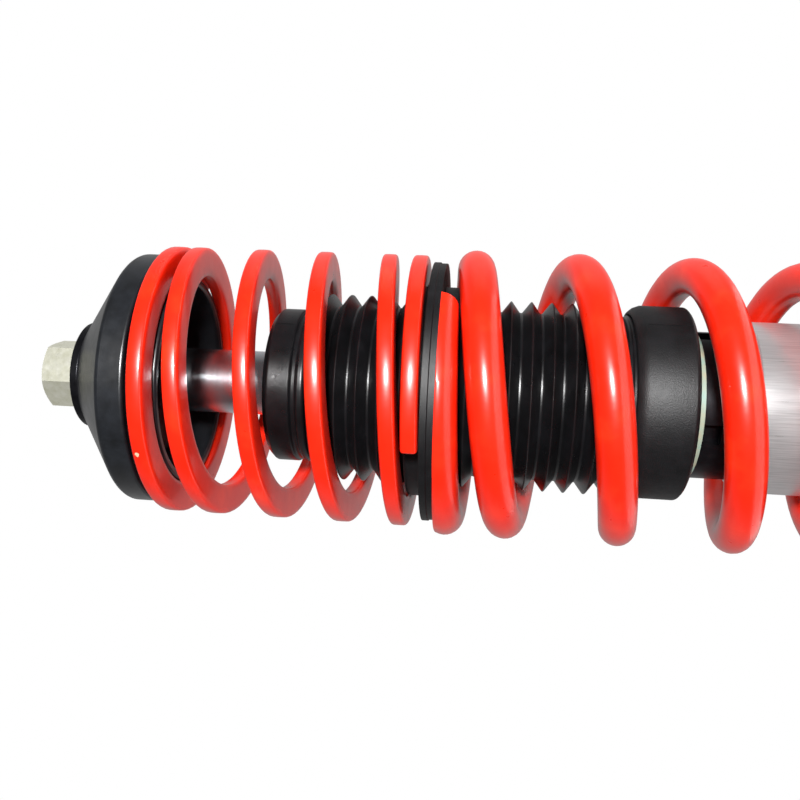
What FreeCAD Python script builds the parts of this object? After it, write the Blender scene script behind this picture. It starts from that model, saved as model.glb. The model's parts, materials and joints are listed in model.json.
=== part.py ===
"""Coil-over suspension strut with a helper spring, as a FreeCAD macro.

Millimetres, +Z up the strut. The origin is the middle of the lower spigot, on the strut's axis.
The rod is shown fully out, with the springs just seated and the lower perch at its highest.
"""
import FreeCAD, Part
import math
import os
import Sketcher

SIZES = {
    # strut tube and its spigot
    "spigot_step": 0.5, "spigot_length": 80.0, "tube_radius": 25.5, "tube_wall": 3.5, "tube_height": 236.0,
    "plug_thickness": 6.0,
    # damper
    "rod_radius": 10.0, "stud_radius": 6.0, "rod_out": 192.0, "rod_below": 56.0, "stud_below": 27.0,
    "cylinder_bore": 15.0, "cylinder_wall": 1.5, "piston_length": 15.0, "band_width": 8.0, "band_depth": 1.2,
    "shim_thickness": 2.0, "piston_nut_height": 8.0, "piston_nut_wall": 3.5,
    "stop_clearance": 1.0, "stop_length": 10.0, "valve_length": 12.0, "valve_spigot": 5.0,
    # damper head
    "gland_proud": 13.6, "gland_thread": 10.0, "gland_clearance": 2.0, "gland_slot": 5.0,
    "gland_slots": 4, "gland_turn": 67.0,
    "seal_height": 5.5, "seal_wall": 8.0, "guide_height": 14.0, "guide_spigot": 12.0,
    "bush_wall": 1.5, "ring_section": 1.2, "packer_thickness": 2.5,
    # dust boot
    "boot_gap": 3.6, "collar_wall": 2.8, "collar_height": 17.0, "collar_floor": 3.0,
    "crest_step": 0.2, "fold_depth": 3.4, "fold_pitch": 6.1, "boot_skin": 1.2, "boot_length": 93.4,
    "cuff_length": 7.0, "cap_radius": 23.7, "cap_height": 12.6, "cap_wall": 3.2,
    "bump_wall": 10.0, "bump_height": 36.0,
    # upper spring plate and its fasteners
    "plate_lip": 6.4, "plate_hub": 17.0, "plate_thickness": 6.0, "plate_cone": 16.0, "plate_rim": 7.8,
    "plate_cup": 6.9, "cup_wall": 2.6, "washer_thickness": 2.4, "washer_boss": 0.6, "boss_rim": 0.5,
    "washer_radius": 16.7,
    "nut_flats": 19.0, "nut_height": 12.0, "nut_chamfer": 1.0, "nut_turn": 15.0,
    # springs
    "spring_bore": 32.6, "main_wire": 11.0, "main_length": 124.7, "main_turns": 5.17, "main_tip": -52.0,
    "helper_depth": 9.0, "helper_wire": 5.0, "helper_length": 82.5, "helper_turns": 5.4, "helper_tip": -115.0,
    # parts that seat the springs
    "coupler_lip": 7.1, "coupler_thickness": 4.0, "coupler_hub": 5.0, "hub_wall": 2.4, "hub_gap": 0.35,
    "seat_washer": 2.5, "perch_lip": 10.4, "perch_flange": 8.0, "perch_wall": 10.5, "perch_height": 28.0,
    "lock_wall": 8.5, "lock_height": 10.0, "spanner_slot": 6.0, "slot_depth": 3.0, "grub_radius": 2.5,
    "spanner_slots": 8, "lock_turn": 22.5,
    # brackets on the tube
    "hose_plate": 3.0, "hose_reach": 24.0, "hose_height": 18.0, "hose_hole": 5.1,
    "link_plate": 5.0, "link_reach": 34.0, "link_height": 40.0, "link_hole": 6.1, "saddle": 3.0,
    "saddle_width": 25.0, "bracket_gap": 10.0,
    # clearances
    "fit": 0.05, "face_gap": 0.05, "slack": 0.3,
}

# Shape of the springs' ends, the rises and the ground depths in wire widths and the bend in turns.
MAIN_CLOSED = 0.96
MAIN_GROUND = -0.08
HELPER_CLOSED = 1.05
HELPER_GROUND = 0.49
END_BEND = 0.3
HELPER_CLEARANCE = 0.1
# Points on each turn of a spring's centre line, and the circle on which a sketch's corners start.
TURN_STEPS = 16
SKETCH_CENTRE, SKETCH_RADIUS = 30.0, 20.0
ABOVE = FreeCAD.Vector(0, 0, 1)

doc = FreeCAD.newDocument("coilover")
sheet = doc.addObject("Spreadsheet::Sheet", "sizes")
for row, (alias, value) in enumerate(SIZES.items(), start=1):
    sheet.set(f"A{row}", alias)
    sheet.set(f"B{row}", str(value))
    sheet.setAlias(f"B{row}", alias)
doc.recompute()

NODES = []


def of(alias):
    """The expression that reads one size from the sheet."""
    return f"sizes.{alias}"


def total(*terms):
    """An expression for a sum of sizes or expressions; a term that starts with '-' is taken away."""
    words = []
    for term in terms:
        sign = "-" if term.startswith("-") else "+"
        name = term.lstrip("-")
        words.append(f"{sign} {of(name) if name in SIZES else '(' + name + ')'}")
    return "0 " + " ".join(words)


def size(alias):
    """One size as a number, read from the sheet."""
    return float(sheet.get(alias))


# Heights above the origin, as expressions.
TUBE_FOOT = total("-" + of("spigot_length") + " / 2")
TUBE_TOP = total("tube_height")
GLAND_TOP = total(TUBE_TOP, "gland_proud")
PACKER_TOP = total(GLAND_TOP, "packer_thickness", "face_gap")
COLLAR_FOOT = total(PACKER_TOP, "face_gap")
COLLAR_TOP = total(COLLAR_FOOT, "collar_height")
CAP_FOOT = total(COLLAR_TOP, "boot_length")
SHOULDER = total(TUBE_TOP, "rod_out")
PLATE_TOP = total(SHOULDER, "plate_thickness")
PLATE_SEAT = total(PLATE_TOP, "-plate_cone", "-plate_rim")
WASHER_TOP = total(PLATE_TOP, "washer_thickness", "washer_boss")
COUPLER_TOP = total(PLATE_SEAT, "-helper_length")
COUPLER_FOOT = total(COUPLER_TOP, "-coupler_thickness")
PERCH_SEAT = total(COUPLER_FOOT, "-main_length")
PERCH_TOP = total(PERCH_SEAT, "-seat_washer")
PERCH_FOOT = total(PERCH_TOP, "-perch_height")
GLAND_FOOT = total(TUBE_TOP, "-gland_thread")
SEAL_FOOT = total(GLAND_FOOT, "-seal_height")
GUIDE_FOOT = total(GLAND_FOOT, "-guide_height")
SPIGOT_FOOT = total(GUIDE_FOOT, "-guide_spigot")
ROD_FOOT = total(TUBE_TOP, "-rod_below")
PISTON_TOP = total(ROD_FOOT, "-shim_thickness")
PISTON_FOOT = total(PISTON_TOP, "-piston_length")
CYLINDER_TOP = total(GUIDE_FOOT, "-face_gap")
PLUG_TOP = total(TUBE_FOOT, "plug_thickness")
VALVE_FOOT = total(PLUG_TOP, "face_gap")
CYLINDER_FOOT = total(VALVE_FOOT, "valve_length", "face_gap")
TUBE_BORE = total("tube_radius", "-tube_wall")
SPIGOT_RADIUS = total("tube_radius", "-spigot_step")
PLATE_RADIUS = total("spring_bore", "plate_lip")
COUPLER_RADIUS = total("spring_bore", "coupler_lip")
PERCH_RADIUS = total("spring_bore", "perch_lip")
PERCH_BODY = total("tube_radius", "perch_wall")
LOCK_RADIUS = total("tube_radius", "lock_wall")
COLLAR_RADIUS = total("spring_bore", "-boot_gap")
GLAND_BORE = total("rod_radius", "gland_clearance")
SEAL_RADIUS = total("rod_radius", "seal_wall")
BUMP_RADIUS = total("rod_radius", "bump_wall")
STOP_RADIUS = total("cylinder_bore", "-stop_clearance")
PISTON_NUT_RADIUS = total("stud_radius", "piston_nut_wall")


def finish(piece, label):
    """Name a finished piece and put it on the list of nodes."""
    piece.Label = label
    NODES.append(piece)
    return piece


def turned(name, foot, corners):
    """A PartDesign body turned about the strut's axis: corners are (radius, height above foot)."""
    body = doc.addObject("PartDesign::Body", name)
    sketch = body.newObject("Sketcher::SketchObject", name + "_profile")
    planes = {feature.Role: feature for feature in body.Origin.OriginFeatures}
    sketch.AttachmentSupport = [(planes["XZ_Plane"], "")]
    sketch.MapMode = "FlatFace"
    count = len(corners)
    turns = [math.tau * i / count for i in range(count)]
    start = [FreeCAD.Vector(SKETCH_CENTRE + SKETCH_RADIUS * math.cos(turn),
                            SKETCH_CENTRE + SKETCH_RADIUS * math.sin(turn), 0) for turn in turns]
    for i in range(count):
        sketch.addGeometry(Part.LineSegment(start[i], start[(i + 1) % count]), False)
    for i in range(count):
        sketch.addConstraint(Sketcher.Constraint("Coincident", i, 2, (i + 1) % count, 1))
    for i, (radius, height) in enumerate(corners):
        ties = (("DistanceX", -2, radius, start[i].x), ("DistanceY", -1, height, start[i].y))
        for kind, axis, value, guess in ties:
            if value == "0":
                sketch.addConstraint(Sketcher.Constraint("PointOnObject", i, 1, axis))
                continue
            index = sketch.addConstraint(Sketcher.Constraint(kind, -1, 1, i, 1, guess))
            sketch.renameConstraint(index, f"{kind}_{i}")
            sketch.setExpression(f"Constraints.{kind}_{i}", total(value))
    doc.recompute()
    turn = body.newObject("PartDesign::Revolution", name + "_turn")
    turn.Profile = sketch
    turn.ReferenceAxis = (sketch, ["V_Axis"])
    turn.Angle = 360
    body.Tip = turn
    body.setExpression("Placement.Base.z", foot)
    return body


def ring(name, foot, inner, outer, height):
    """A plain turned ring or, with an inner radius of "0", a plain disc."""
    return turned(name, foot, [(inner, "0"), (outer, "0"), (outer, height), (inner, height)])


def block(name, length, width, height, place, angle=0.0):
    """A Part box; place is its corner or, where turned by an angle, its corner before the turn."""
    box = doc.addObject("Part::Box", name)
    for side, value in (("Length", length), ("Width", width), ("Height", height)):
        box.setExpression(side, total(value))
    if angle:
        turn = FreeCAD.Rotation(ABOVE, angle)
        box.Placement = FreeCAD.Placement(FreeCAD.Vector(), turn)
        radial, side = place[0], place[1]
        cos, sin = math.cos(math.radians(angle)), math.sin(math.radians(angle))
        along, across = total(radial), total(side)
        box.setExpression("Placement.Base.x", f"({along}) * {cos:.9f} - ({across}) * {sin:.9f}")
        box.setExpression("Placement.Base.y", f"({along}) * {sin:.9f} + ({across}) * {cos:.9f}")
    else:
        box.setExpression("Placement.Base.x", total(place[0]))
        box.setExpression("Placement.Base.y", total(place[1]))
    box.setExpression("Placement.Base.z", total(place[2]))
    return box


def rod(name, radius, height, foot, turn=None, across=None):
    """A Part cylinder standing on foot, or lying along the turn given and placed at across."""
    bar = doc.addObject("Part::Cylinder", name)
    bar.setExpression("Radius", total(radius))
    bar.setExpression("Height", total(height))
    if turn:
        bar.Placement = FreeCAD.Placement(FreeCAD.Vector(), turn)
        bar.setExpression("Placement.Base.x", total(across[0]))
        bar.setExpression("Placement.Base.y", total(across[1]))
    bar.setExpression("Placement.Base.z", foot)
    return bar


def cut(name, base, tool):
    """The base with the tool taken away."""
    result = doc.addObject("Part::Cut", name)
    result.Base = base
    result.Tool = tool
    return result


def group(kind, name, pieces):
    """A fusion or a common of several pieces; kind is Part::MultiFuse or Part::MultiCommon."""
    result = doc.addObject(kind, name)
    result.Shapes = pieces
    return result


def slots(name, count, first, radius, foot, height):
    """Square spanner slots cut in from a rim at the radius given, the first at an angle in degrees."""
    corner = (total(radius, "-slot_depth"), "-" + of("spanner_slot") + " / 2", foot)
    boxes = [block(f"{name}_{i}", total("slot_depth", "slot_depth"), "spanner_slot", height, corner,
                   first + 360.0 * i / count) for i in range(count)]
    return group("Part::MultiFuse", name, boxes)


# ---- strut tube, its foot and its brackets ----
def make_tube():
    length = total(TUBE_TOP, "-" + TUBE_FOOT)
    finish(turned("tube", TUBE_FOOT, [
        (TUBE_BORE, "0"), (SPIGOT_RADIUS, "0"), (SPIGOT_RADIUS, "spigot_length"),
        ("tube_radius", "spigot_length"), ("tube_radius", length), (TUBE_BORE, length)]), "strut_tube")
    finish(ring("plug", TUBE_FOOT, "0", total(TUBE_BORE, "-fit"), "plug_thickness"), "bottom_plug")


def make_hose_bracket():
    foot = total("spigot_length", TUBE_FOOT, "bracket_gap")
    half = of("hose_plate") + " / 2"
    plate = block("hose_blank", total("tube_radius", "hose_reach"), "hose_plate", "hose_height",
                  ("0", "-" + half, foot))
    tube = rod("hose_saddle", "tube_radius", "hose_height", foot)
    across = FreeCAD.Rotation(FreeCAD.Vector(1, 0, 0), 90)
    reach = total("tube_radius", "hose_reach", "-hose_hole", "-" + of("hose_plate") + " * 2")
    hole = rod("hose_bore", "hose_hole", total("hose_plate", "hose_plate"),
               total(foot, of("hose_height") + " / 2"), across, (reach, "hose_plate"))
    finish(cut("hose_cut", plate, group("Part::MultiFuse", "hose_tools", [tube, hole])), "hose_bracket")


def make_link_bracket():
    foot = total("spigot_length", TUBE_FOOT, "bracket_gap")
    half = of("link_plate") + " / 2"
    reach = total("tube_radius", "link_reach")
    plate = block("link_blank", reach, "link_plate", "link_height", ("-" + reach, "-" + half, foot))
    strip = block("link_strip", total("tube_radius", "saddle"), "saddle_width", "link_height",
                  ("-" + total("tube_radius", "saddle"), "-" + of("saddle_width") + " / 2", foot))
    band = rod("link_band", total("tube_radius", "saddle"), "link_height", foot)
    saddle = group("Part::MultiCommon", "link_saddle", [strip, band])
    tube = rod("link_tube", "tube_radius", "link_height", foot)
    across = FreeCAD.Rotation(FreeCAD.Vector(1, 0, 0), 90)
    hole = rod("link_bore", "link_hole", total("link_plate", "link_plate"),
               total(foot, of("link_height") + " / 2"), across,
               ("-" + total(reach, "-link_hole", "-" + of("link_plate")), "link_plate"))
    blank = group("Part::MultiFuse", "link_body", [plate, saddle])
    finish(cut("link_cut", blank, group("Part::MultiFuse", "link_tools", [tube, hole])), "drop_link_bracket")


# ---- damper head: gland nut, seal, guide ----
def make_head():
    height = total("gland_proud", "gland_thread")
    blank = ring("gland_blank", GLAND_FOOT, GLAND_BORE, total(TUBE_BORE, "-fit"), height)
    spanner = slots("gland_slots", int(size("gland_slots")), size("gland_turn"), TUBE_BORE,
                    total(GLAND_TOP, "-gland_slot"), total("gland_slot", "slack"))
    finish(cut("gland", blank, spanner), "gland_nut")
    packer = ring("packer", total(GLAND_TOP, "face_gap"), GLAND_BORE, TUBE_BORE, "packer_thickness")
    finish(packer, "nylon_packer")
    finish(ring("seal", SEAL_FOOT, total("rod_radius", "fit"), SEAL_RADIUS,
                total("seal_height", "-face_gap")), "oil_seal")
    bush_outer = total("rod_radius", "fit", "bush_wall")
    head = total(TUBE_BORE, "-fit")
    spigot = total("cylinder_bore", "-fit")
    step = "guide_spigot"
    top = total("guide_spigot", "guide_height")
    recess = total(top, "-seal_height", "-face_gap")
    groove = total("guide_spigot", "ring_section")
    lip = total(groove, "ring_section", "ring_section", "fit", "fit")
    floor = total(head, "-ring_section", "-ring_section")
    finish(turned("guide", SPIGOT_FOOT, [
        (total(bush_outer, "fit"), "0"), (spigot, "0"), (spigot, step),
        (head, step), (head, groove), (floor, groove), (floor, lip), (head, lip),
        (head, total(top, "-face_gap")), (total(SEAL_RADIUS, "fit"), total(top, "-face_gap")),
        (total(SEAL_RADIUS, "fit"), recess), (total(bush_outer, "fit"), recess)]), "rod_guide")
    seal_ring = doc.addObject("Part::Torus", "o_ring")
    seal_ring.setExpression("Radius1", total(head, "-ring_section"))
    seal_ring.setExpression("Radius2", of("ring_section"))
    seal_ring.setExpression("Placement.Base.z", total(SPIGOT_FOOT, groove, "ring_section", "fit"))
    finish(seal_ring, "guide_o_ring")
    finish(ring("bush", SPIGOT_FOOT, total("rod_radius", "fit"), bush_outer, recess), "guide_bush")


# ---- what works inside the tube ----
def make_cylinder():
    outer = total("cylinder_bore", "cylinder_wall")
    finish(ring("cylinder", CYLINDER_FOOT, "cylinder_bore", outer, total(CYLINDER_TOP, "-" + CYLINDER_FOOT)),
           "inner_cylinder")
    finish(turned("valve", VALVE_FOOT, [
        ("0", "0"), (outer, "0"), (outer, "valve_length"), (total("cylinder_bore", "-fit"), "valve_length"),
        (total("cylinder_bore", "-fit"), total("valve_length", "valve_spigot")),
        ("0", total("valve_length", "valve_spigot"))]), "base_valve")


def make_rod():
    middle = total(SHOULDER, "-" + ROD_FOOT)
    end = total("stud_below", middle)
    top = total(end, "plate_thickness", "washer_thickness", "washer_boss", "nut_height", "-slack")
    finish(turned("shaft", total(ROD_FOOT, "-stud_below"), [
        ("0", "0"), ("stud_radius", "0"), ("stud_radius", "stud_below"), ("rod_radius", "stud_below"),
        ("rod_radius", end), ("stud_radius", end), ("stud_radius", top), ("0", top)]), "piston_rod")
    stop = total(SPIGOT_FOOT, "-stop_length", "-slack")
    finish(ring("stop", stop, total("rod_radius", "fit"), STOP_RADIUS, "stop_length"), "rebound_stop")
    hole = total("stud_radius", "fit")
    skirt = total("cylinder_bore", "-fit", "-fit")
    face = total(skirt, "-band_depth")
    low = total("(" + of("piston_length") + " - " + of("band_width") + ") / 2")
    high = total(low, "band_width")
    rim = total(face, of("band_depth") + " / 2")
    finish(turned("piston", PISTON_FOOT, [
        (hole, "0"), (rim, "0"), (rim, low), (face, low), (face, high), (rim, high), (rim, "piston_length"),
        (hole, "piston_length")]), "piston")
    finish(ring("band", total(PISTON_FOOT, low, "fit"), total(face, "fit"), skirt,
                total("band_width", "-fit", "-fit")), "piston_band")
    finish(ring("shims", total(PISTON_TOP, "fit"), hole, PISTON_NUT_RADIUS,
                total("shim_thickness", "-fit", "-fit")), "piston_shims")
    finish(ring("end_nut", total(PISTON_FOOT, "-piston_nut_height", "-fit"), hole, PISTON_NUT_RADIUS,
                "piston_nut_height"), "piston_nut")


# ---- dust boot ----
def make_boot():
    hole = total("rod_radius", "slack", "slack")
    bore = total(COLLAR_RADIUS, "-collar_wall")
    opening = total(GLAND_BORE, "slack")
    finish(turned("collar", COLLAR_FOOT, [
        (opening, "0"), (COLLAR_RADIUS, "0"), (COLLAR_RADIUS, "collar_height"), (bore, "collar_height"),
        (bore, "collar_floor"), (opening, "collar_floor")]), "boot_collar")
    finish(ring("bump", total(COLLAR_FOOT, "collar_floor", "face_gap"), hole, BUMP_RADIUS, "bump_height"),
           "bump_stop")
    inside = total("cap_radius", "-cap_wall")
    roof = total("cap_height", "-cap_wall")
    finish(turned("cap", CAP_FOOT, [
        (inside, "0"), ("cap_radius", "0"), ("cap_radius", "cap_height"), (hole, "cap_height"), (hole, roof),
        (inside, roof)]), "boot_cap")


def make_bellows():
    """One moulded skin: a cuff in the collar, the V folds, and a smaller cuff in the cap."""
    collar = size("spring_bore") - size("boot_gap")
    crest, skin, pitch = collar - size("crest_step"), size("boot_skin"), size("fold_pitch")
    valley = crest - size("fold_depth")
    cuff = collar - size("collar_wall") - size("slack")
    neck = size("cap_radius") - size("cap_wall") - size("slack")
    low, high = -size("cuff_length"), size("boot_length")
    folds = int((high - 2 * size("slack")) / pitch)
    first = (high - folds * pitch) / 2
    outer = [(cuff, low), (cuff, 0.0), (valley, 0.0)]
    for i in range(folds):
        outer += [(valley, first + i * pitch), (crest, first + (i + 0.5) * pitch)]
    outer += [(valley, high - first), (neck, high - size("slack")), (neck, high + size("cuff_length"))]
    corners = []
    for corner in outer:
        if not corners or math.dist(corner, corners[-1]) > size("face_gap"):
            corners.append(corner)
    inner = [(radius - skin, height) for radius, height in reversed(corners)]
    loop = corners + inner + corners[:1]
    face = Part.Face(Part.makePolygon([FreeCAD.Vector(radius, 0, height) for radius, height in loop]))
    skin_piece = doc.addObject("Part::Feature", "bellows_skin")
    skin_piece.Shape = face.revolve(FreeCAD.Vector(), ABOVE, 360)
    skin_piece.setExpression("Placement.Base.z", COLLAR_TOP)
    finish(skin_piece, "bellows")


# ---- upper spring plate and what holds it ----
def make_plate():
    hole = total("stud_radius", "fit")
    cup = total("spring_bore", "-hub_gap")
    inside = total(cup, "-cup_wall")
    rim = total("plate_cup")
    step = total("plate_cup", "plate_rim")
    top = total("plate_cup", "plate_rim", "plate_cone")
    finish(turned("plate", total(PLATE_SEAT, "-plate_cup"), [
        (inside, "0"), (cup, "0"), (cup, rim), (PLATE_RADIUS, rim), (PLATE_RADIUS, step), ("plate_hub", top),
        (hole, top), (hole, total(top, "-plate_thickness")), ("plate_hub", total(top, "-plate_thickness")),
        (inside, total(step, "-face_gap"))]), "upper_spring_plate")
    boss = total(of("nut_flats") + " / 2 / cos(30 deg)", "boss_rim")
    high = total("washer_thickness", "washer_boss", "-face_gap")
    finish(turned("washer", PLATE_TOP, [
        (hole, "0"), ("washer_radius", "0"), ("washer_radius", "washer_thickness"),
        (boss, "washer_thickness"), (boss, high), (hole, high)]), "top_washer")


def make_nut():
    prism = doc.addObject("Part::Prism", "nut_blank")
    prism.Polygon = 6
    prism.setExpression("Circumradius", of("nut_flats") + " / 2 / cos(30 deg)")
    prism.setExpression("Height", of("nut_height"))
    prism.Placement = FreeCAD.Placement(FreeCAD.Vector(), FreeCAD.Rotation(ABOVE, size("nut_turn")))
    prism.setExpression("Placement.Base.z", WASHER_TOP)
    bore = rod("nut_bore", total("stud_radius", "fit"), "nut_height", WASHER_TOP)
    half = of("nut_flats") + " / 2"
    wide = total(half, "nut_chamfer", "nut_chamfer")
    shade = turned("nut_shade", WASHER_TOP, [
        ("0", "0"), (half, "0"), (wide, "nut_chamfer"), (wide, total("nut_height", "-nut_chamfer")),
        (half, "nut_height"), ("0", "nut_height")])
    common = group("Part::MultiCommon", "nut_common", [prism, shade])
    finish(cut("nut", common, bore), "top_nut")


# ---- springs ----
def rise(turn, turns, closed, pitch, blend):
    """Height of a spring's wire centre after so many turns: closed end turns, open turns between."""
    slopes = 0.0
    for edge, change in ((1.0, pitch - closed), (turns - 1.0, closed - pitch)):
        ramp = min(max((turn - edge + blend / 2) / blend, 0.0), 1.0)
        slopes += change * (max(turn - edge - blend / 2, 0.0) + blend * ramp * ramp / 2)
    return closed * turn + slopes


def coil(mean, turns, length, closed, start, profile):
    """Wire swept along the centre line of a spring with closed ends, before it is ground."""
    pitch = (length - 2 * closed) / (turns - 2)
    count = int(round(turns * TURN_STEPS))
    path = []
    for i in range(count + 1):
        turn = turns * i / count
        angle = math.radians(start) + math.tau * turn
        height = rise(turn, turns, closed, pitch, END_BEND)
        path.append(FreeCAD.Vector(mean * math.cos(angle), mean * math.sin(angle), height))
    curve = Part.BSplineCurve()
    curve.interpolate(path)
    spine = Part.Wire([curve.toShape()])
    first = path[0]
    radial = FreeCAD.Vector(math.cos(math.radians(start)), math.sin(math.radians(start)), 0)
    tangent = FreeCAD.Vector(-radial.y, radial.x, 0)
    section = profile(first, radial, tangent)
    pipe = Part.BRepOffsetAPI.MakePipeShell(spine)
    pipe.setFrenetMode(True)
    pipe.add(section)
    pipe.build()
    pipe.makeSolid()
    return pipe.shape()


def round_section(radius):
    return lambda centre, radial, tangent: Part.Wire([Part.Circle(centre, tangent, radius).toShape()])


def flat_section(depth, width):
    def section(centre, radial, tangent):
        corners = [centre + radial * (depth / 2 * a) + ABOVE * (width / 2 * b)
                   for a, b in ((-1, -1), (1, -1), (1, 1), (-1, 1), (-1, -1))]
        return Part.makePolygon(corners)
    return section


def make_spring(name, label, mean, turns, length, closed, grind, start, profile, foot):
    """Sweep the wire, then grind both ends flat so that the spring is as long as its space."""
    gap = size("face_gap")
    free = length - 2 * gap
    swept = coil(mean, turns, free - 2 * grind, closed, start, profile)
    swept.translate(FreeCAD.Vector(0, 0, grind))
    reach = mean * 2
    slab = Part.makeCylinder(reach, free)
    spring = doc.addObject("Part::Feature", name)
    spring.Shape = swept.common(slab).Solids[0]
    spring.setExpression("Placement.Base.z", total(foot, "face_gap"))
    return finish(spring, label)


def make_springs():
    bore, wire, turns = size("spring_bore"), size("main_wire"), size("main_turns")
    make_spring("main", "main_spring", bore + wire / 2, turns, size("main_length"), wire * MAIN_CLOSED,
                wire * MAIN_GROUND, size("main_tip") - 360.0 * turns, round_section(wire / 2), PERCH_SEAT)
    depth, width = size("helper_depth"), size("helper_wire")
    make_spring("helper", "helper_spring", bore + depth / 2, size("helper_turns"), size("helper_length"),
                width * HELPER_CLOSED, width * HELPER_GROUND, size("helper_tip"),
                flat_section(depth, width - HELPER_CLEARANCE), COUPLER_TOP)


# ---- what seats the springs ----
def make_coupler():
    outer = total("spring_bore", "-hub_gap")
    inner = total(outer, "-hub_wall")
    low = total("coupler_hub")
    high = total("coupler_hub", "coupler_thickness")
    finish(turned("coupler", total(COUPLER_FOOT, "-coupler_hub"), [
        (inner, "0"), (outer, "0"), (outer, low), (COUPLER_RADIUS, low), (COUPLER_RADIUS, high),
        (outer, high), (outer, total(high, "coupler_hub")),
        (inner, total(high, "coupler_hub"))]), "spring_coupler")


def make_perch():
    bore = total("tube_radius", "fit")
    hub = total("spring_bore", "-hub_gap")
    finish(ring("seat", total(PERCH_TOP, "face_gap"), total(hub, "fit"), PERCH_RADIUS,
                total("seat_washer", "-face_gap")), "seat_washer")
    low = total("perch_height", "-perch_flange")
    blank = turned("perch_blank", PERCH_FOOT, [
        (bore, "0"), (PERCH_BODY, "0"), (PERCH_BODY, low), (PERCH_RADIUS, low),
        (PERCH_RADIUS, "perch_height"), (hub, "perch_height"), (hub, total("perch_height", "coupler_hub")),
        (bore, total("perch_height", "coupler_hub"))])
    count = int(size("spanner_slots"))
    spanner = slots("perch_slots", count, 0.0, PERCH_BODY, PERCH_FOOT,
                    total("perch_height", "-perch_flange", "-slot_depth"))
    across = FreeCAD.Rotation(ABOVE, FreeCAD.Vector(0, -1, 0))
    level = total(PERCH_FOOT, of("perch_height") + " / 2")
    hole = rod("grub_hole", total("grub_radius", "fit"), PERCH_BODY, level, across, ("0", "-tube_radius"))
    finish(cut("perch", blank, group("Part::MultiFuse", "perch_tools", [spanner, hole])), "perch_collar")
    screw = total(PERCH_BODY, "-" + bore)
    finish(rod("grub", "grub_radius", total(screw, "-slot_depth"), level, across, ("0", "-" + bore)),
           "collar_grub_screw")
    lock_foot = total(PERCH_FOOT, "-lock_height", "-slack")
    lock = ring("lock_blank", lock_foot, bore, LOCK_RADIUS, "lock_height")
    notches = slots("lock_slots", count, size("lock_turn"), LOCK_RADIUS, total(lock_foot, "-slack"),
                    total("lock_height", "slack", "slack"))
    finish(cut("lock", lock, notches), "lock_ring")


def check():
    """Stop if any object failed to compute or any node is not one or more sound solids."""
    for item in doc.Objects:
        if {"Invalid", "Error"} & set(item.State):
            raise RuntimeError(f"{item.Name} did not compute: {item.State}")
    for node in NODES:
        shape = node.Shape
        if shape.isNull() or not shape.isValid() or not shape.Solids:
            raise RuntimeError(f"{node.Label} is not a sound solid")


make_tube()
make_hose_bracket()
make_link_bracket()
make_head()
make_cylinder()
make_rod()
make_boot()
make_bellows()
make_plate()
make_nut()
make_springs()
make_coupler()
make_perch()
doc.recompute()
check()
os.makedirs("parts", exist_ok=True)
for node in NODES:
    node.Shape.exportStep(f"parts/{node.Label}.step")
    box = node.Shape.BoundBox
    volume = node.Shape.Volume
    print(f"{node.Label:20s} z {box.ZMin:8.2f} {box.ZMax:8.2f}  r {box.XMax:6.2f}  volume {volume:10.0f}")
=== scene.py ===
"""Coil-over strut: the finished visible pieces, their materials and a small photo stage.

Sizes are in metres and heights are above the middle of the lower spigot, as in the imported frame.
"""
import json
import math

import bmesh
import bpy
from mathutils import Matrix, Vector


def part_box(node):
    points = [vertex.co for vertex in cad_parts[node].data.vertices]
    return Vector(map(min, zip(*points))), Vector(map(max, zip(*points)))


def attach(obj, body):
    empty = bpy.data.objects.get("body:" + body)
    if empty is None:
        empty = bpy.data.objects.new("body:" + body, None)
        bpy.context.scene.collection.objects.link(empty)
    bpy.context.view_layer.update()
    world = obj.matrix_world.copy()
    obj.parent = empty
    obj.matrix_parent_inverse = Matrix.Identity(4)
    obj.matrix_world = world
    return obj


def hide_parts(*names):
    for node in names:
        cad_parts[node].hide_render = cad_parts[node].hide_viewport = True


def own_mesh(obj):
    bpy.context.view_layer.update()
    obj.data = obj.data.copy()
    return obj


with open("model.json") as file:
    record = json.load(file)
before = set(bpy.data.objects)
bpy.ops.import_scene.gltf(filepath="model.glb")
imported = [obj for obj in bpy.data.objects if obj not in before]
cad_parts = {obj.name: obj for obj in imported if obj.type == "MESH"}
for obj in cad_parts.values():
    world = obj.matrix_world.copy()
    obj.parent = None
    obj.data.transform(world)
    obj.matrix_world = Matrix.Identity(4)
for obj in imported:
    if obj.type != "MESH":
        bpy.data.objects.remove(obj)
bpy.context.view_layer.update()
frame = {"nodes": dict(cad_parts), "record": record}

bl_info = {
    "name": "Coil-over strut",
    "version": (1, 0, 0),
    "blender": (4, 5, 0),
    "location": "View3D > Sidebar > Strut",
    "description": "Builds the visible pieces of a coil-over strut around its packed frame",
    "category": "Object",
}

MM = 0.001
AXIS = Vector((0.0, 0.0, 1.0))

# Spring ends: where each seen tip lies, the rises and ground depths in wire widths, the bend in turns.
MAIN_TIP = math.radians(-52)
MAIN_CLOSED = 0.96
MAIN_GROUND = -0.08
HELPER_TIP = math.radians(-115)
HELPER_CLOSED = 1.07
HELPER_GROUND = 0.5
END_BEND = 0.3
MOULD_SEAM = math.radians(-41)


# ---- sizes read from the frame ----
def low(node):
    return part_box(node)[0].z


def high(node):
    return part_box(node)[1].z


def radius(node):
    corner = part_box(node)
    return (corner[1].y - corner[0].y) / 2


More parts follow.
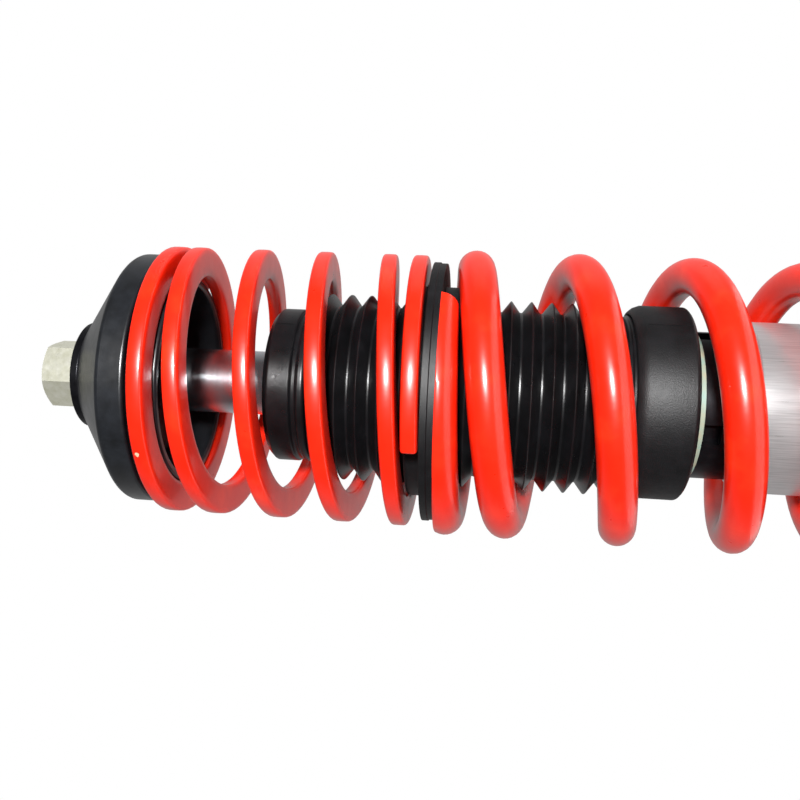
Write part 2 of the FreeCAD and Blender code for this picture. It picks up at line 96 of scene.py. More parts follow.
# ---- settings ----
class StrutSizes(bpy.types.PropertyGroup):
    main_wire: bpy.props.FloatProperty(
        name="Main wire",
        description="Diameter of the main spring's round wire", default=11 * MM, unit="LENGTH")
    main_turns: bpy.props.FloatProperty(
        name="Main turns",
        description="Turns of the main spring, closed ends included", default=5.17)
    helper_depth: bpy.props.FloatProperty(
        name="Helper depth",
        description="Radial depth of the helper spring's flat wire", default=9 * MM, unit="LENGTH")
    helper_wire: bpy.props.FloatProperty(
        name="Helper wire",
        description="Axial thickness of the helper spring's flat wire", default=4.9 * MM,
        unit="LENGTH")
    helper_turns: bpy.props.FloatProperty(
        name="Helper turns",
        description="Turns of the helper spring, closed ends included", default=5.4)
    fold_pitch: bpy.props.FloatProperty(
        name="Fold pitch",
        description="Distance between two folds of the dust boot", default=6.1 * MM, unit="LENGTH")
    fold_depth: bpy.props.FloatProperty(
        name="Fold depth",
        description="Radial depth of the boot's folds", default=3.4 * MM, unit="LENGTH")
    thread_pitch: bpy.props.FloatProperty(
        name="Thread pitch",
        description="Pitch of the adjusting thread on the tube", default=2 * MM, unit="LENGTH")


class StrutColours(bpy.types.PropertyGroup):
    spring: bpy.props.StringProperty(
        name="Springs", description="Powder coat, sRGB hex", default="D6200A")
    rubber: bpy.props.StringProperty(
        name="Boot", description="Moulded rubber, sRGB hex", default="0F0F11")
    steel: bpy.props.StringProperty(
        name="Tube", description="Zinc plated steel, sRGB hex", default="D6D5D6")


class StageSettings(bpy.types.PropertyGroup):
    distance: bpy.props.FloatProperty(
        name="Distance",
        description="From the camera to the strut's axis", default=271 * MM, unit="LENGTH")
    aim_height: bpy.props.FloatProperty(
        name="Aim height",
        description="Height on the axis that the camera faces", default=337 * MM, unit="LENGTH")
    rise: bpy.props.FloatProperty(
        name="Rise",
        description="How far the axis lies above the middle of the view", default=3.13 * MM, unit="LENGTH")
    yaw: bpy.props.FloatProperty(
        name="Yaw",
        description="Turn that brings the lower end nearer", default=math.radians(5.7), subtype="ANGLE")
    roll: bpy.props.FloatProperty(
        name="Roll",
        description="Slope of the strut across the view", default=math.radians(2.96), subtype="ANGLE")
    lens: bpy.props.FloatProperty(
        name="Lens", description="Focal length in mm on a 36 mm sensor", default=39.15)
    floor_colour: bpy.props.StringProperty(
        name="Floor", description="Pale floor, sRGB hex", default="F1F1EF")


# ---- materials ----
def linear(code):
    """An sRGB hex colour as a linear RGBA tuple."""
    channels = [int(code[i:i + 2], 16) / 255 for i in (0, 2, 4)]
    return tuple(c / 12.92 if c <= 0.04045 else ((c + 0.055) / 1.055) ** 2.4 for c in channels) + (1.0,)


def node(tree, kind, links=(), **settings):
    """Add one shader node: settings name its properties or its inputs, links are (input, output socket)."""
    item = tree.nodes.new(kind)
    for key, value in settings.items():
        label = key.replace("_", " ")
        if label.title() in item.inputs:
            item.inputs[label.title()].default_value = value
        elif hasattr(item, key):
            setattr(item, key, value)
        else:
            raise ValueError(f"{kind} has no {key}")
    for name, socket in links:
        tree.links.new(socket, item.inputs[name])
    return item


def new_material(name, colour, roughness, metallic=0.0, **sockets):
    """A Principled material with its plain values set."""
    material = bpy.data.materials.new(name)
    material.use_nodes = True
    tree = material.node_tree
    shader = tree.nodes["Principled BSDF"]
    shader.inputs["Base Color"].default_value = linear(colour)
    shader.inputs["Roughness"].default_value = roughness
    shader.inputs["Metallic"].default_value = metallic
    for key, value in sockets.items():
        shader.inputs[key.replace("_", " ")].default_value = value
    place = node(tree, "ShaderNodeTexCoord")
    return material, tree, shader, place.outputs["Object"]


def stretched(tree, place, scale):
    """Object coordinates scaled apart along X, Y and Z."""
    return node(tree, "ShaderNodeMapping", [("Vector", place)], scale=scale).outputs["Vector"]


def around(tree, place):
    """Coordinates that follow a turned piece: radius, height and nothing round it, in metres."""
    split = node(tree, "ShaderNodeSeparateXYZ", [("Vector", place)])
    flat = node(tree, "ShaderNodeCombineXYZ", [("X", split.outputs["X"]), ("Y", split.outputs["Y"])])
    reach = node(tree, "ShaderNodeVectorMath", [("Vector", flat.outputs[0])], operation="LENGTH")
    links = [("X", reach.outputs["Value"]), ("Z", split.outputs["Z"])]
    return node(tree, "ShaderNodeCombineXYZ", links).outputs[0]


def grain(tree, vector, size_mm, detail=3.0, roughness=0.6):
    """Noise whose blotches are about size_mm across."""
    return node(tree, "ShaderNodeTexNoise", [("Vector", vector)], scale=1 / (size_mm * MM), detail=detail,
                roughness=roughness).outputs["Fac"]


def ramp(tree, value, stops):
    """A colour ramp from (position, hex) stops."""
    item = node(tree, "ShaderNodeValToRGB", [("Fac", value)])
    elements = item.color_ramp.elements
    while len(elements) < len(stops):
        elements.new(0.5)
    for element, (position, colour) in zip(elements, stops):
        element.position = position
        element.color = linear(colour)
    return item.outputs["Color"]


def span(tree, value, start, end):
    """Map a 0 to 1 value to a range."""
    return node(tree, "ShaderNodeMapRange", [("Value", value)], to_min=start, to_max=end).outputs["Result"]


def bump(tree, shader, value, depth_mm, strength=1.0, under=None):
    """Relief of a real depth; under is an earlier bump's output."""
    links = [("Height", value)] + ([("Normal", under)] if under else [])
    item = node(tree, "ShaderNodeBump", links, strength=strength, distance=depth_mm * MM)
    tree.links.new(item.outputs["Normal"], shader.inputs["Normal"])
    return item.outputs["Normal"]


def powder_coat(colour):
    """Gloss powder coat on spring wire: wet highlights over a slight orange peel, a few pale chips."""
    material, tree, shader, place = new_material(
        "powder_coated_spring_steel", colour, 0.3, Coat_Weight=0.35, Coat_Roughness=0.1, Specular_IOR_Level=0.4)
    tone = ramp(tree, grain(tree, place, 14), [(0.3, "D01C05"), (0.55, colour), (0.8, "E63012")])
    cells = node(tree, "ShaderNodeTexVoronoi", [("Vector", place)], scale=1 / (22 * MM), randomness=1.0)
    edge = span(tree, grain(tree, place, 1.2), 0, 0.05)
    ragged = node(tree, "ShaderNodeMath", [(0, cells.outputs["Distance"]), (1, edge)], operation="ADD")
    chip = node(tree, "ShaderNodeMath", [(0, ragged.outputs[0])], operation="LESS_THAN")
    chip.inputs[1].default_value = 0.062
    mix = tree.nodes.new("ShaderNodeMix")
    mix.data_type = "RGBA"
    tree.links.new(chip.outputs[0], mix.inputs[0])
    tree.links.new(tone, mix.inputs[6])
    mix.inputs[7].default_value = linear("D9A98C")
    tree.links.new(mix.outputs[2], shader.inputs["Base Color"])
    tree.links.new(span(tree, grain(tree, place, 6), 0.24, 0.36), shader.inputs["Roughness"])
    bump(tree, shader, grain(tree, place, 2.2, detail=1), 0.03, 0.5)
    return material


def moulded_rubber(colour):
    """Injection moulded boot rubber: black with a soft sheen, faint dust and flow marks."""
    material, tree, shader, place = new_material("moulded_rubber", colour, 0.32, Specular_IOR_Level=0.4)
    tone = ramp(tree, grain(tree, place, 9, detail=6), [(0.35, "080809"), (0.6, colour), (0.85, "1B1B1D")])
    tree.links.new(tone, shader.inputs["Base Color"])
    tree.links.new(span(tree, grain(tree, place, 4), 0.22, 0.38), shader.inputs["Roughness"])
    bump(tree, shader, grain(tree, place, 0.7), 0.04, 0.6)
    return material


def textured_nylon():
    """Spark-eroded glass-filled nylon: matt black with a fine even grit."""
    material, tree, shader, place = new_material(
        "textured_black_nylon", "0C0C0D", 0.48, Specular_IOR_Level=0.35)
    tone = ramp(tree, grain(tree, place, 5, detail=5), [(0.3, "070708"), (0.7, "111113")])
    tree.links.new(tone, shader.inputs["Base Color"])
    tree.links.new(span(tree, grain(tree, place, 2), 0.42, 0.54), shader.inputs["Roughness"])
    bump(tree, shader, grain(tree, place, 0.35, detail=2), 0.08, 1.0)
    return material


def satin_black_steel():
    """Turned steel under satin black: tool marks show as fine rings through the finish."""
    material, tree, shader, place = new_material(
        "satin_black_turned_steel", "121316", 0.36, Coat_Weight=0.25, Coat_Roughness=0.2)
    marks = grain(tree, around(tree, place), 0.5, detail=2)
    tone = ramp(tree, grain(tree, place, 7, detail=5), [(0.3, "0D0E10"), (0.7, "1B1D21")])
    tree.links.new(tone, shader.inputs["Base Color"])
    tree.links.new(span(tree, grain(tree, place, 3), 0.26, 0.42), shader.inputs["Roughness"])
    bump(tree, shader, marks, 0.02, 0.5)
    return material


def black_oxide():
    """Black oxide on machined steel: dark, oily and a little metallic, brown where it is thin."""
    material, tree, shader, place = new_material("black_oxide_steel", "16161A", 0.34, 0.7)
    tone = ramp(tree, grain(tree, place, 3, detail=6), [(0.3, "101013"), (0.6, "1B1B1F"), (0.85, "2C2622")])
    tree.links.new(tone, shader.inputs["Base Color"])
    bump(tree, shader, grain(tree, around(tree, place), 0.6, detail=2), 0.03, 0.5)
    return material


def hard_chrome():
    """Ground hard chrome: a mirror with very fine rings left by the grinding wheel."""
    material, tree, shader, place = new_material("ground_hard_chrome", "E3E6EC", 0.15, 1.0)
    marks = grain(tree, around(tree, place), 0.35, detail=2)
    tree.links.new(span(tree, marks, 0.18, 0.26), shader.inputs["Roughness"])
    bump(tree, shader, marks, 0.004, 0.4)
    return material


def drawn_steel(colour):
    """Drawn steel tube with thin zinc: bright, with streaks along the draw."""
    material, tree, shader, place = new_material("drawn_zinc_plated_steel", colour, 0.4, 0.8)
    streaks = grain(tree, stretched(tree, place, (1.0, 1.0, 0.03)), 0.35, detail=4)
    tone = ramp(tree, streaks, [(0.3, "C6C5C5"), (0.5, colour), (0.75, "E4E3E3")])
    tree.links.new(tone, shader.inputs["Base Color"])
    tree.links.new(span(tree, streaks, 0.24, 0.36), shader.inputs["Roughness"])
    bump(tree, shader, streaks, 0.015, 0.3)
    return material


def zinc_plate():
    """Yellowish bright zinc on a forged nut: slightly cloudy, soft edges."""
    material, tree, shader, place = new_material("bright_zinc_plate", "E6E5D2", 0.34, 0.7)
    tone = ramp(tree, grain(tree, place, 2.5, detail=5), [(0.3, "D6D5BE"), (0.6, "E8E7D6"), (0.85, "F3F2E6")])
    tree.links.new(tone, shader.inputs["Base Color"])
    tree.links.new(span(tree, grain(tree, place, 1.5), 0.22, 0.4), shader.inputs["Roughness"])
    bump(tree, shader, grain(tree, place, 0.9), 0.02, 0.5)
    return material


def natural_nylon():
    """Natural nylon: milky and faintly green, with a dull edge."""
    material, tree, shader, place = new_material("natural_nylon", "DDE3D6", 0.42)
    tone = ramp(tree, grain(tree, place, 5), [(0.35, "768F85"), (0.7, "918B75")])
    tree.links.new(tone, shader.inputs["Base Color"])
    bump(tree, shader, grain(tree, place, 0.5), 0.02, 0.5)
    return material


def plain_inner(name, colour, rough, metallic):
    """A machined or moulded inner piece that is seen only when the strut is apart."""
    material, tree, shader, place = new_material(name, colour, rough, metallic)
    tree.links.new(span(tree, grain(tree, place, 1.5), rough * 0.8, rough * 1.2), shader.inputs["Roughness"])
    bump(tree, shader, grain(tree, around(tree, place), 0.6), 0.02, 0.5)
    return material


MATERIALS = {}


def make_materials(colours):
    """One material for each slot of the record."""
    MATERIALS.update({
        "red_coating": powder_coat(colours.spring), "boot_rubber": moulded_rubber(colours.rubber),
        "moulded_black": textured_nylon(), "black_anodised": satin_black_steel(), "black_oxide": black_oxide(),
        "chrome_rod": hard_chrome(), "drawn_steel": drawn_steel(colours.steel), "zinc_plate": zinc_plate(),
        "pale_nylon": natural_nylon(),
        "dark_steel": plain_inner("machined_steel", "6A6C70", 0.3, 1.0),
        "rubber": plain_inner("nitrile_rubber", "141415", 0.5, 0.0),
        "bronze": plain_inner("sintered_bronze", "A9814E", 0.4, 1.0),
        "foam": plain_inner("microcellular_foam", "C9B878", 0.75, 0.0),
    })


# ---- mesh tools ----
def piece(name, mesh_builder, body, slot, *stands_for):
    """Turn a finished bmesh into an object that rides on a body and has its slot's material."""
    mesh = bpy.data.meshes.new(name)
    bmesh.ops.recalc_face_normals(mesh_builder, faces=mesh_builder.faces)
    mesh_builder.to_mesh(mesh)
    mesh_builder.free()
    for polygon in mesh.polygons:
        polygon.use_smooth = True
    mesh.set_sharp_from_angle(angle=math.radians(35))
    item = bpy.data.objects.new(name, mesh)
    bpy.context.scene.collection.objects.link(item)
    item.data.materials.append(MATERIALS[slot])
    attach(item, body)
    if stands_for:
        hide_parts(*stands_for)
    return item


def soften(item, width, segments=3):
    """Round the edges of a turned or pressed piece."""
    bevel = item.modifiers.new("edge_round", "BEVEL")
    bevel.width = width
    bevel.segments = segments
    bevel.limit_method = "ANGLE"
    bevel.angle_limit = math.radians(28)
    return item


def lathe(corners, steps=128, closed=True):
    """Spin a profile of (radius, height) corners round the axis."""
    bm = bmesh.new()
    verts = [bm.verts.new((r, 0.0, z)) for r, z in corners]
    pairs = list(zip(verts, verts[1:]))
    if closed:
        pairs.append((verts[-1], verts[0]))
    edges = [bm.edges.new(pair) for pair in pairs]
    bmesh.ops.spin(bm, geom=verts + edges, axis=AXIS, cent=(0, 0, 0), steps=steps, angle=math.tau,
                   use_merge=True)
    bmesh.ops.remove_doubles(bm, verts=bm.verts, dist=1e-6)
    return bm


def rise(turn, turns, closed, pitch, ease):
    """Height of a spring's wire centre after so many turns: closed ends, open turns between."""
    height = closed * turn
    for edge, change in ((1.0, pitch - closed), (turns - 1.0, closed - pitch)):
        along = min(max((turn - edge + ease / 2) / ease, 0.0), 1.0)
        height += change * (max(turn - edge - ease / 2, 0.0) + ease * along * along / 2)
    return height


def spring(section, mean, turns, length, closed, grind, start, foot, steps=72):
    """Spin a wire section up an even helix, ease it into closed ends, then grind the ends flat."""
    bm = section
    even = 40 * MM
    bmesh.ops.translate(bm, verts=bm.verts, vec=(mean, 0, 0))
    first = list(bm.faces)
    count = round(turns * steps)
    bmesh.ops.spin(bm, geom=first, axis=AXIS, cent=(0, 0, 0), dvec=(0, 0, even / steps), steps=count,
                   angle=math.tau * turns, use_duplicate=False)
    for face in first:
        if not face.is_valid:
            continue
        bmesh.ops.reverse_faces(bm, faces=[face])
    pitch = (length - 2 * grind - 2 * closed) / (turns - 2)
    for vert in bm.verts:
        part = (math.atan2(vert.co.y, vert.co.x) / math.tau) % 1.0
        turn = part + round(vert.co.z / even - part)
        height = rise(turn, turns, closed, pitch, END_BEND) + vert.co.z - turn * even + grind
        vert.co.z = min(max(height, 0.0), length)
    bmesh.ops.rotate(bm, verts=bm.verts, cent=(0, 0, 0), matrix=Matrix.Rotation(start, 3, "Z"))
    bmesh.ops.translate(bm, verts=bm.verts, vec=(0, 0, foot))
    return bm


def round_section(diameter, segments=28):
    bm = bmesh.new()
    turn = Matrix.Rotation(math.pi / 2, 4, "X")
    bmesh.ops.create_circle(bm, cap_ends=True, segments=segments, radius=diameter / 2, matrix=turn)
    return bm


def flat_section(depth, width, segments=32):
    """A rounded oblong, pushed out from a circle towards a box and crowned inside and outside."""
    bm = round_section(1.0, segments)
    squareness, crown = 7.0, 0.14
    for vert in bm.verts:
        x, z = vert.co.x * 2, vert.co.z * 2
        vert.co.x = math.copysign(abs(x) ** (2 / squareness), x) * (1 - crown * z * z) * depth / 2
        vert.co.z = math.copysign(abs(z) ** (2 / squareness), z) * width / 2
    return bm


# ---- pieces ----
class STRUT_OT_springs(bpy.types.Operator):
    """Main and helper springs with closed, ground ends"""
    bl_idname = "strut.springs"
    bl_label = "Springs"

    def execute(self, context):
        sizes = context.scene.strut_sizes
        length = high("main_spring") - low("main_spring")
        mean = radius("main_spring") - sizes.main_wire / 2
        start = MAIN_TIP - math.tau * sizes.main_turns
        bm = spring(round_section(sizes.main_wire), mean, sizes.main_turns, length,
                    MAIN_CLOSED * sizes.main_wire, MAIN_GROUND * sizes.main_wire, start, low("main_spring"))
        item = piece("main_spring_wire", bm, "spring_seat", "red_coating", "main_spring")
        soften(item, 0.5 * MM, 2)
        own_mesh(item)
        length = high("helper_spring") - low("helper_spring")
        mean = radius("helper_spring") - sizes.helper_depth / 2
        bm = spring(flat_section(sizes.helper_depth, sizes.helper_wire), mean, sizes.helper_turns, length,
                    HELPER_CLOSED * sizes.helper_wire, HELPER_GROUND * sizes.helper_wire, HELPER_TIP,
                    low("helper_spring"))
        item = piece("helper_spring_wire", bm, "coupler", "red_coating", "helper_spring")
        soften(item, 0.5 * MM, 2)
        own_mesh(item)
        return {"FINISHED"}


class STRUT_OT_boot(bpy.types.Operator):
    """Dust boot: bellows, its cap and its hard collar"""
    bl_idname = "strut.boot"
    bl_label = "Dust boot"

    def execute(self, context):
        sizes = context.scene.strut_sizes
        self.make_bellows(sizes)
        self.make_cap()
        self.make_collar()
        return {"FINISHED"}

    def make_bellows(self, sizes):
        crest = radius("bellows")
        valley = crest - sizes.fold_depth
        foot = high("boot_collar")
        top = low("boot_cap")
        cuff = radius("boot_collar") - 3.1 * MM
        neck = radius("boot_cap") - 3.5 * MM
        folds = int((top - foot) / sizes.fold_pitch)
        spare = (top - foot - folds * sizes.fold_pitch) / 2
        flat, lip = 0.7 * MM, 0.3 * MM
        outer = [(cuff, foot - 6.5 * MM), (cuff, foot + spare * 0.6)]
        for fold in range(folds):
            base = foot + spare + fold * sizes.fold_pitch
            outer += [(valley, base), (valley, base + flat),
                      (crest, base + (sizes.fold_pitch + flat - lip) / 2),
                      (crest, base + (sizes.fold_pitch + flat + lip) / 2)]
        outer += [(valley, top - spare), (neck, top - 0.3 * MM), (neck, top + 6.5 * MM)]
        skin = 1.1 * MM
        inner = [(r - skin, z) for r, z in reversed(outer)]
        item = piece("boot_bellows", lathe(outer + inner, 112), "tube", "boot_rubber", "bellows")
        soften(item, 0.25 * MM, 2)
        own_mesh(item)

    def make_cap(self):
        foot, top, outer = low("boot_cap"), high("boot_cap"), radius("boot_cap")
        bore, roof, wall = 10.6 * MM, 3.0 * MM, 3.0 * MM
        groove = foot + 2.7 * MM
        shape = [(outer - wall, foot), (outer - 0.5 * MM, foot), (outer, foot + 0.7 * MM),
                 (outer, groove - 0.5 * MM),
                 (outer - 0.9 * MM, groove), (outer - 0.9 * MM, groove + 1.3 * MM), (outer, groove + 1.8 * MM),
                 (outer, top - 1.6 * MM), (outer - 1.6 * MM, top), (bore + 3 * MM, top),
                 (bore + 2 * MM, top - 0.6 * MM), (bore, top - 0.6 * MM), (bore, top - roof),
                 (outer - wall, top - roof)]
        soften(piece("boot_top_cap", lathe(shape), "boot_top", "boot_rubber", "boot_cap"), 0.35 * MM)
        self.make_seam("cap_parting_line", "boot_top", "boot_rubber", outer, groove + 2.2 * MM, top - 1.9 * MM)

    def make_collar(self):
        foot, top, outer = low("boot_collar"), high("boot_collar"), radius("boot_collar")
        bore = 12.3 * MM
        wall, floor = 2.8 * MM, 3.0 * MM
        shape = [(bore, foot), (outer - 1.2 * MM, foot), (outer, foot + 1.0 * MM), (outer, top - 3.2 * MM),
                 (outer - 0.7 * MM, top - 1.4 * MM), (outer - 1.9 * MM, top), (outer - wall, top),
                 (outer - wall, foot + floor), (bore, foot + floor)]
        soften(piece("boot_hard_collar", lathe(shape), "tube", "moulded_black", "boot_collar"), 0.5 * MM, 4)
        self.make_seam("collar_parting_line", "tube", "moulded_black", outer, foot + 1.4 * MM, top - 3.4 * MM)

    def make_seam(self, name, body, slot, outer, foot, top):
        """Fine ridges left where the two halves of a mould met, on opposite sides."""
        part = bmesh.new()
        bmesh.ops.create_cube(part, size=1.0)
        bmesh.ops.scale(part, verts=part.verts, vec=(0.24 * MM, 0.3 * MM, top - foot))
        bmesh.ops.translate(part, verts=part.verts, vec=(outer, 0, (top + foot) / 2))
        twin = bmesh.ops.duplicate(part, geom=part.verts[:] + part.edges[:] + part.faces[:])["geom"]
        bmesh.ops.rotate(part, verts=[v for v in twin if isinstance(v, bmesh.types.BMVert)], cent=(0, 0, 0),
                         matrix=Matrix.Rotation(math.pi, 3, "Z"))
        bmesh.ops.rotate(part, verts=part.verts, cent=(0, 0, 0), matrix=Matrix.Rotation(MOULD_SEAM, 3, "Z"))
        piece(name, part, body, slot)


class STRUT_OT_upper_plate(bpy.types.Operator):
    """Upper spring plate, its washer and the piston rod"""
    bl_idname = "strut.upper_plate"
    bl_label = "Upper plate"

    def execute(self, context):
        foot, top, outer = low("upper_spring_plate"), high("upper_spring_plate"), radius("upper_spring_plate")
        seat = high("helper_spring") + 0.05 * MM
        edge = seat + 7.8 * MM
        hole, hub, cup = 6.05 * MM, 17 * MM, 32.2 * MM
        wall = 2.6 * MM
        shoulder = top - 6 * MM
        shape = [(cup - wall, foot), (cup, foot), (cup, seat), (outer, seat), (outer, edge), (hub, top),
                 (hole, top), (hole, shoulder), (hub, shoulder), (cup - wall, edge)]
        plate = piece("upper_plate_turned", lathe(shape, 160), "rod", "black_anodised", "upper_spring_plate")
        soften(plate, 0.8 * MM, 4)
        foot, top, outer = low("top_washer"), high("top_washer"), radius("top_washer")
        boss, rim = 11.47 * MM, foot + 2.4 * MM
        shape = [(hole, foot), (outer, foot), (outer, rim), (boss, rim), (boss, top), (hole, top)]
        soften(piece("top_washer_disc", lathe(shape, 96), "rod", "black_oxide", "top_washer"), 0.5 * MM)
        self.make_rod(hole)
        return {"FINISHED"}

    def make_rod(self, hole):
        foot, top, outer = low("piston_rod"), high("piston_rod"), radius("piston_rod")
        stud = hole - 0.05 * MM
        step = foot + 27 * MM
        shoulder = low("top_washer") - 6 * MM
        chamfer = 0.8 * MM
        shape = [(stud - chamfer, foot), (stud, foot + chamfer), (stud, step), (outer - chamfer, step),
                 (outer, step + chamfer), (outer, shoulder - chamfer), (outer - chamfer, shoulder),
                 (stud, shoulder), (stud, top - chamfer), (stud - chamfer, top)]
        bm = lathe(shape, 96, closed=False)
        bmesh.ops.holes_fill(bm, edges=[edge for edge in bm.edges if edge.is_boundary])
        piece("piston_rod_ground", bm, "rod", "chrome_rod", "piston_rod")


class STRUT_OT_coupler(bpy.types.Operator):
    """Ring between the two springs, with a centring hub each way"""
    bl_idname = "strut.coupler"
    bl_label = "Spring coupler"

    def execute(self, context):
        foot, top, outer = low("spring_coupler"), high("spring_coupler"), radius("spring_coupler")
        hub = 5 * MM
        rim = 32.25 * MM
        bore = rim - 2.4 * MM
        step = 0.3 * MM
        middle = foot + hub + 2.0 * MM
        shape = [(bore, foot), (rim - 0.5 * MM, foot), (rim, foot + 0.8 * MM), (rim, foot + hub),
                 (outer - step, foot + hub), (outer - step, middle), (outer, middle), (outer, top - hub),
                 (rim, top - hub), (rim, top - 0.8 * MM), (rim - 0.5 * MM, top), (bore, top)]
        ring = piece("spring_coupler_ring", lathe(shape, 144), "coupler", "moulded_black", "spring_coupler")
        soften(ring, 0.4 * MM)
        return {"FINISHED"}


class STRUT_OT_tube(bpy.types.Operator):
    """Strut tube with its adjusting thread, spigot shoulder and weld beads"""
    bl_idname = "strut.tube"
    bl_label = "Strut tube"

    def execute(self, context):
        sizes = context.scene.strut_sizes
        foot, top, outer = low("strut_tube"), high("strut_tube"), radius("strut_tube")
        bore = outer - 3.5 * MM
        spigot = outer - 0.5 * MM
        shoulder = foot + 80 * MM
        thread_foot, thread_top = shoulder + 72 * MM, top - 20 * MM
        chamfer = 0.8 * MM
        rows = int((thread_top - thread_foot) / (sizes.thread_pitch / 6))
        cut = [(outer, thread_foot + (thread_top - thread_foot) * row / rows) for row in range(rows + 1)]
        shape = [(bore, foot), (spigot - chamfer, foot), (spigot, foot + chamfer), (spigot, shoulder),
                 (outer - 0.1 * MM, shoulder), (outer, shoulder + 0.2 * MM)] + cut
        shape += [(outer, top - chamfer), (outer - chamfer, top), (bore, top)]
        bm = lathe(shape, 96)
        depth = 0.9 * MM
        for vert in bm.verts:
            reach = vert.co.xy.length
            inside = min(vert.co.z - thread_foot, thread_top - vert.co.z)
            if reach < outer - 0.05 * MM or inside < 0:
                continue
            phase = (vert.co.z / sizes.thread_pitch - math.atan2(vert.co.y, vert.co.x) / math.tau) % 1.0
            bite = min(abs(phase - 0.5) * 2, 0.85) * depth * min(inside / sizes.thread_pitch, 1.0)
            vert.co.xy *= (reach - bite) / reach
        piece("strut_tube_threaded", bm, "tube", "drawn_steel", "strut_tube")
        self.make_welds(outer)
        return {"FINISHED"}

    def make_welds(self, outer):
        for name, node_name, side, half in (("hose_bracket_weld", "hose_bracket", 0.0, 1.5 * MM),
                                            ("link_bracket_weld", "drop_link_bracket", math.pi, 12.5 * MM)):
            bm = bmesh.new()
            foot, top = low(node_name), high(node_name)
            ripple = 2.2 * MM
            count = int((top - foot) / ripple)
            for edge in (-1, 1):
                for i in range(count):
                    turn = side + edge * math.asin(half / outer)
                    height = foot + (i + 0.5) * ripple
                    place = Matrix.Translation((outer * math.cos(turn), outer * math.sin(turn), height))
                    bead = place @ Matrix.Rotation(turn, 4, "Z") @ Matrix.Diagonal((0.7, 1.0, 0.8, 1.0))
                    bmesh.ops.create_icosphere(bm, subdivisions=2, radius=1.9 * MM, matrix=bead)
            piece(name, bm, "tube", "drawn_steel")


class STRUT_OT_finishes(bpy.types.Operator):
    """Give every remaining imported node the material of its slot"""
    bl_idname = "strut.finishes"
    bl_label = "Finishes"

    def execute(self, context):
        slots = {entry["node"]: entry["material_slot"] for entry in frame["record"]["subparts"]}
        for name, item in frame["nodes"].items():
            item.data.materials.clear()
            item.data.materials.append(MATERIALS[slots[name]])
        return {"FINISHED"}


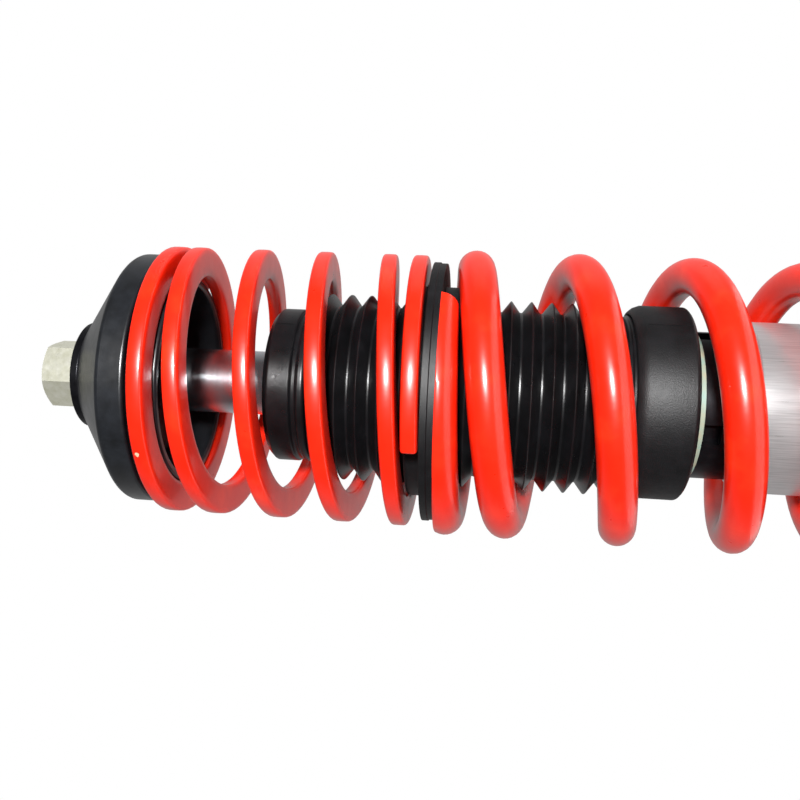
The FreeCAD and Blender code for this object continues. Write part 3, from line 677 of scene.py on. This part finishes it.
# ---- stage ----
class STRUT_OT_stage(bpy.types.Operator):
    """Pale floor, white surround, soft lights and the camera"""
    bl_idname = "strut.stage"
    bl_label = "Stage"

    def execute(self, context):
        stage = context.scene.strut_stage
        self.make_floor(stage)
        self.make_world(context.scene)
        self.make_camera(context.scene, stage)
        self.make_lights(stage)
        return {"FINISHED"}

    def make_floor(self, stage):
        bm = bmesh.new()
        bmesh.ops.create_circle(bm, cap_ends=True, segments=96, radius=0.45)
        bmesh.ops.translate(bm, verts=bm.verts, vec=(0, 0, low("strut_tube") - 0.5 * MM))
        mesh = bpy.data.meshes.new("pale_floor")
        bm.to_mesh(mesh)
        bm.free()
        floor = bpy.data.objects.new("pale_floor", mesh)
        bpy.context.scene.collection.objects.link(floor)
        material, tree, shader, place = new_material("matt_backdrop_paper", stage.floor_colour, 0.85)
        bump(tree, shader, grain(tree, place, 1.5), 0.02, 0.3)
        mesh.materials.append(material)

    def make_world(self, scene):
        """White to the eye; the light is white all round but dim from the camera's side."""
        world = bpy.data.worlds.new("soft_white_surround")
        scene.world = world
        world.use_nodes = True
        tree = world.node_tree
        tree.nodes.clear()
        place = node(tree, "ShaderNodeTexCoord")
        split = node(tree, "ShaderNodeSeparateXYZ", [("Vector", place.outputs["Generated"])])
        fade = node(tree, "ShaderNodeMapRange", [("Value", split.outputs["Y"])], from_min=-0.2, from_max=0.9,
                    to_min=0.08, to_max=0.42)
        lit = node(tree, "ShaderNodeBackground", [("Strength", fade.outputs["Result"])])
        seen = node(tree, "ShaderNodeBackground")
        path = node(tree, "ShaderNodeLightPath")
        both = node(tree, "ShaderNodeMixShader", [(0, path.outputs["Is Camera Ray"]), (1, lit.outputs[0]),
                                                  (2, seen.outputs[0])])
        for background in (lit, seen):
            background.inputs["Color"].default_value = (1.0, 1.0, 1.0, 1.0)
        seen.inputs["Strength"].default_value = 1.0
        node(tree, "ShaderNodeOutputWorld", [("Surface", both.outputs[0])])
        scene.view_settings.view_transform = "Standard"

    def make_camera(self, scene, stage):
        along = Vector((math.cos(stage.yaw) * math.cos(stage.roll), math.cos(stage.yaw) * math.sin(stage.roll),
                        -math.sin(stage.yaw)))
        front = Vector((-math.sin(stage.yaw) * math.cos(stage.roll), -math.sin(stage.yaw) * math.sin(stage.roll),
                        -math.cos(stage.yaw)))
        axes = Matrix(((-front).cross(-along), -front, -along)).transposed()
        to_frame = axes.transposed()
        flip = Matrix.Diagonal((1.0, -1.0, -1.0))
        aim = Vector((0, 0, stage.aim_height))
        place = aim - to_frame @ Vector((0, -stage.rise, stage.distance))
        data = bpy.data.cameras.new("strut_camera")
        data.sensor_width = 36.0
        data.lens = stage.lens
        data.clip_start = 0.01
        camera = bpy.data.objects.new("strut_camera", data)
        scene.collection.objects.link(camera)
        camera.matrix_world = Matrix.Translation(place) @ (to_frame @ flip).to_4x4()
        scene.camera = camera

    def make_lights(self, stage):
        middle = stage.aim_height
        lamps = (("top_softbox", (0.60, 0.25, middle), 0.5, 5.5),
                 ("low_softbox", (-0.60, 0.25, middle), 0.5, 2.6),
                 ("front_lamp", (0.115, -0.60, middle), 0.07, 8.5))
        for name, place, width, power in lamps:
            data = bpy.data.lights.new(name, "AREA")
            data.shape = "SQUARE"
            data.size = width
            data.energy = power
            lamp = bpy.data.objects.new(name, data)
            bpy.context.scene.collection.objects.link(lamp)
            lamp.location = place
            lamp.visible_glossy = name == "front_lamp"
            facing = Vector((0, 0, middle)) - Vector(place)
            lamp.rotation_euler = facing.to_track_quat("-Z", "Y").to_euler()


class STRUT_PT_panel(bpy.types.Panel):
    """Lists the strut's settings and the operators that build it"""
    bl_idname = "STRUT_PT_panel"
    bl_label = "Coil-over strut"
    bl_space_type = "VIEW_3D"
    bl_region_type = "UI"
    bl_category = "Strut"

    def draw(self, context):
        for group in (context.scene.strut_sizes, context.scene.strut_colours, context.scene.strut_stage):
            for name in group.__annotations__:
                self.layout.prop(group, name)
        for operator in OPERATORS:
            self.layout.operator(operator.bl_idname)


OPERATORS = (STRUT_OT_stage, STRUT_OT_springs, STRUT_OT_boot, STRUT_OT_upper_plate, STRUT_OT_coupler,
             STRUT_OT_tube, STRUT_OT_finishes)
CLASSES = (StrutSizes, StrutColours, StageSettings) + OPERATORS + (STRUT_PT_panel,)


def register():
    for item in CLASSES:
        bpy.utils.register_class(item)
    bpy.types.Scene.strut_sizes = bpy.props.PointerProperty(type=StrutSizes)
    bpy.types.Scene.strut_colours = bpy.props.PointerProperty(type=StrutColours)
    bpy.types.Scene.strut_stage = bpy.props.PointerProperty(type=StageSettings)


def unregister():
    del bpy.types.Scene.strut_stage
    del bpy.types.Scene.strut_colours
    del bpy.types.Scene.strut_sizes
    for item in reversed(CLASSES):
        bpy.utils.unregister_class(item)


def main():
    register()
    make_materials(bpy.context.scene.strut_colours)
    bpy.ops.strut.stage()
    bpy.ops.strut.springs()
    bpy.ops.strut.boot()
    bpy.ops.strut.upper_plate()
    bpy.ops.strut.coupler()
    bpy.ops.strut.tube()
    bpy.ops.strut.finishes()


if __name__ == "__main__":
    main()
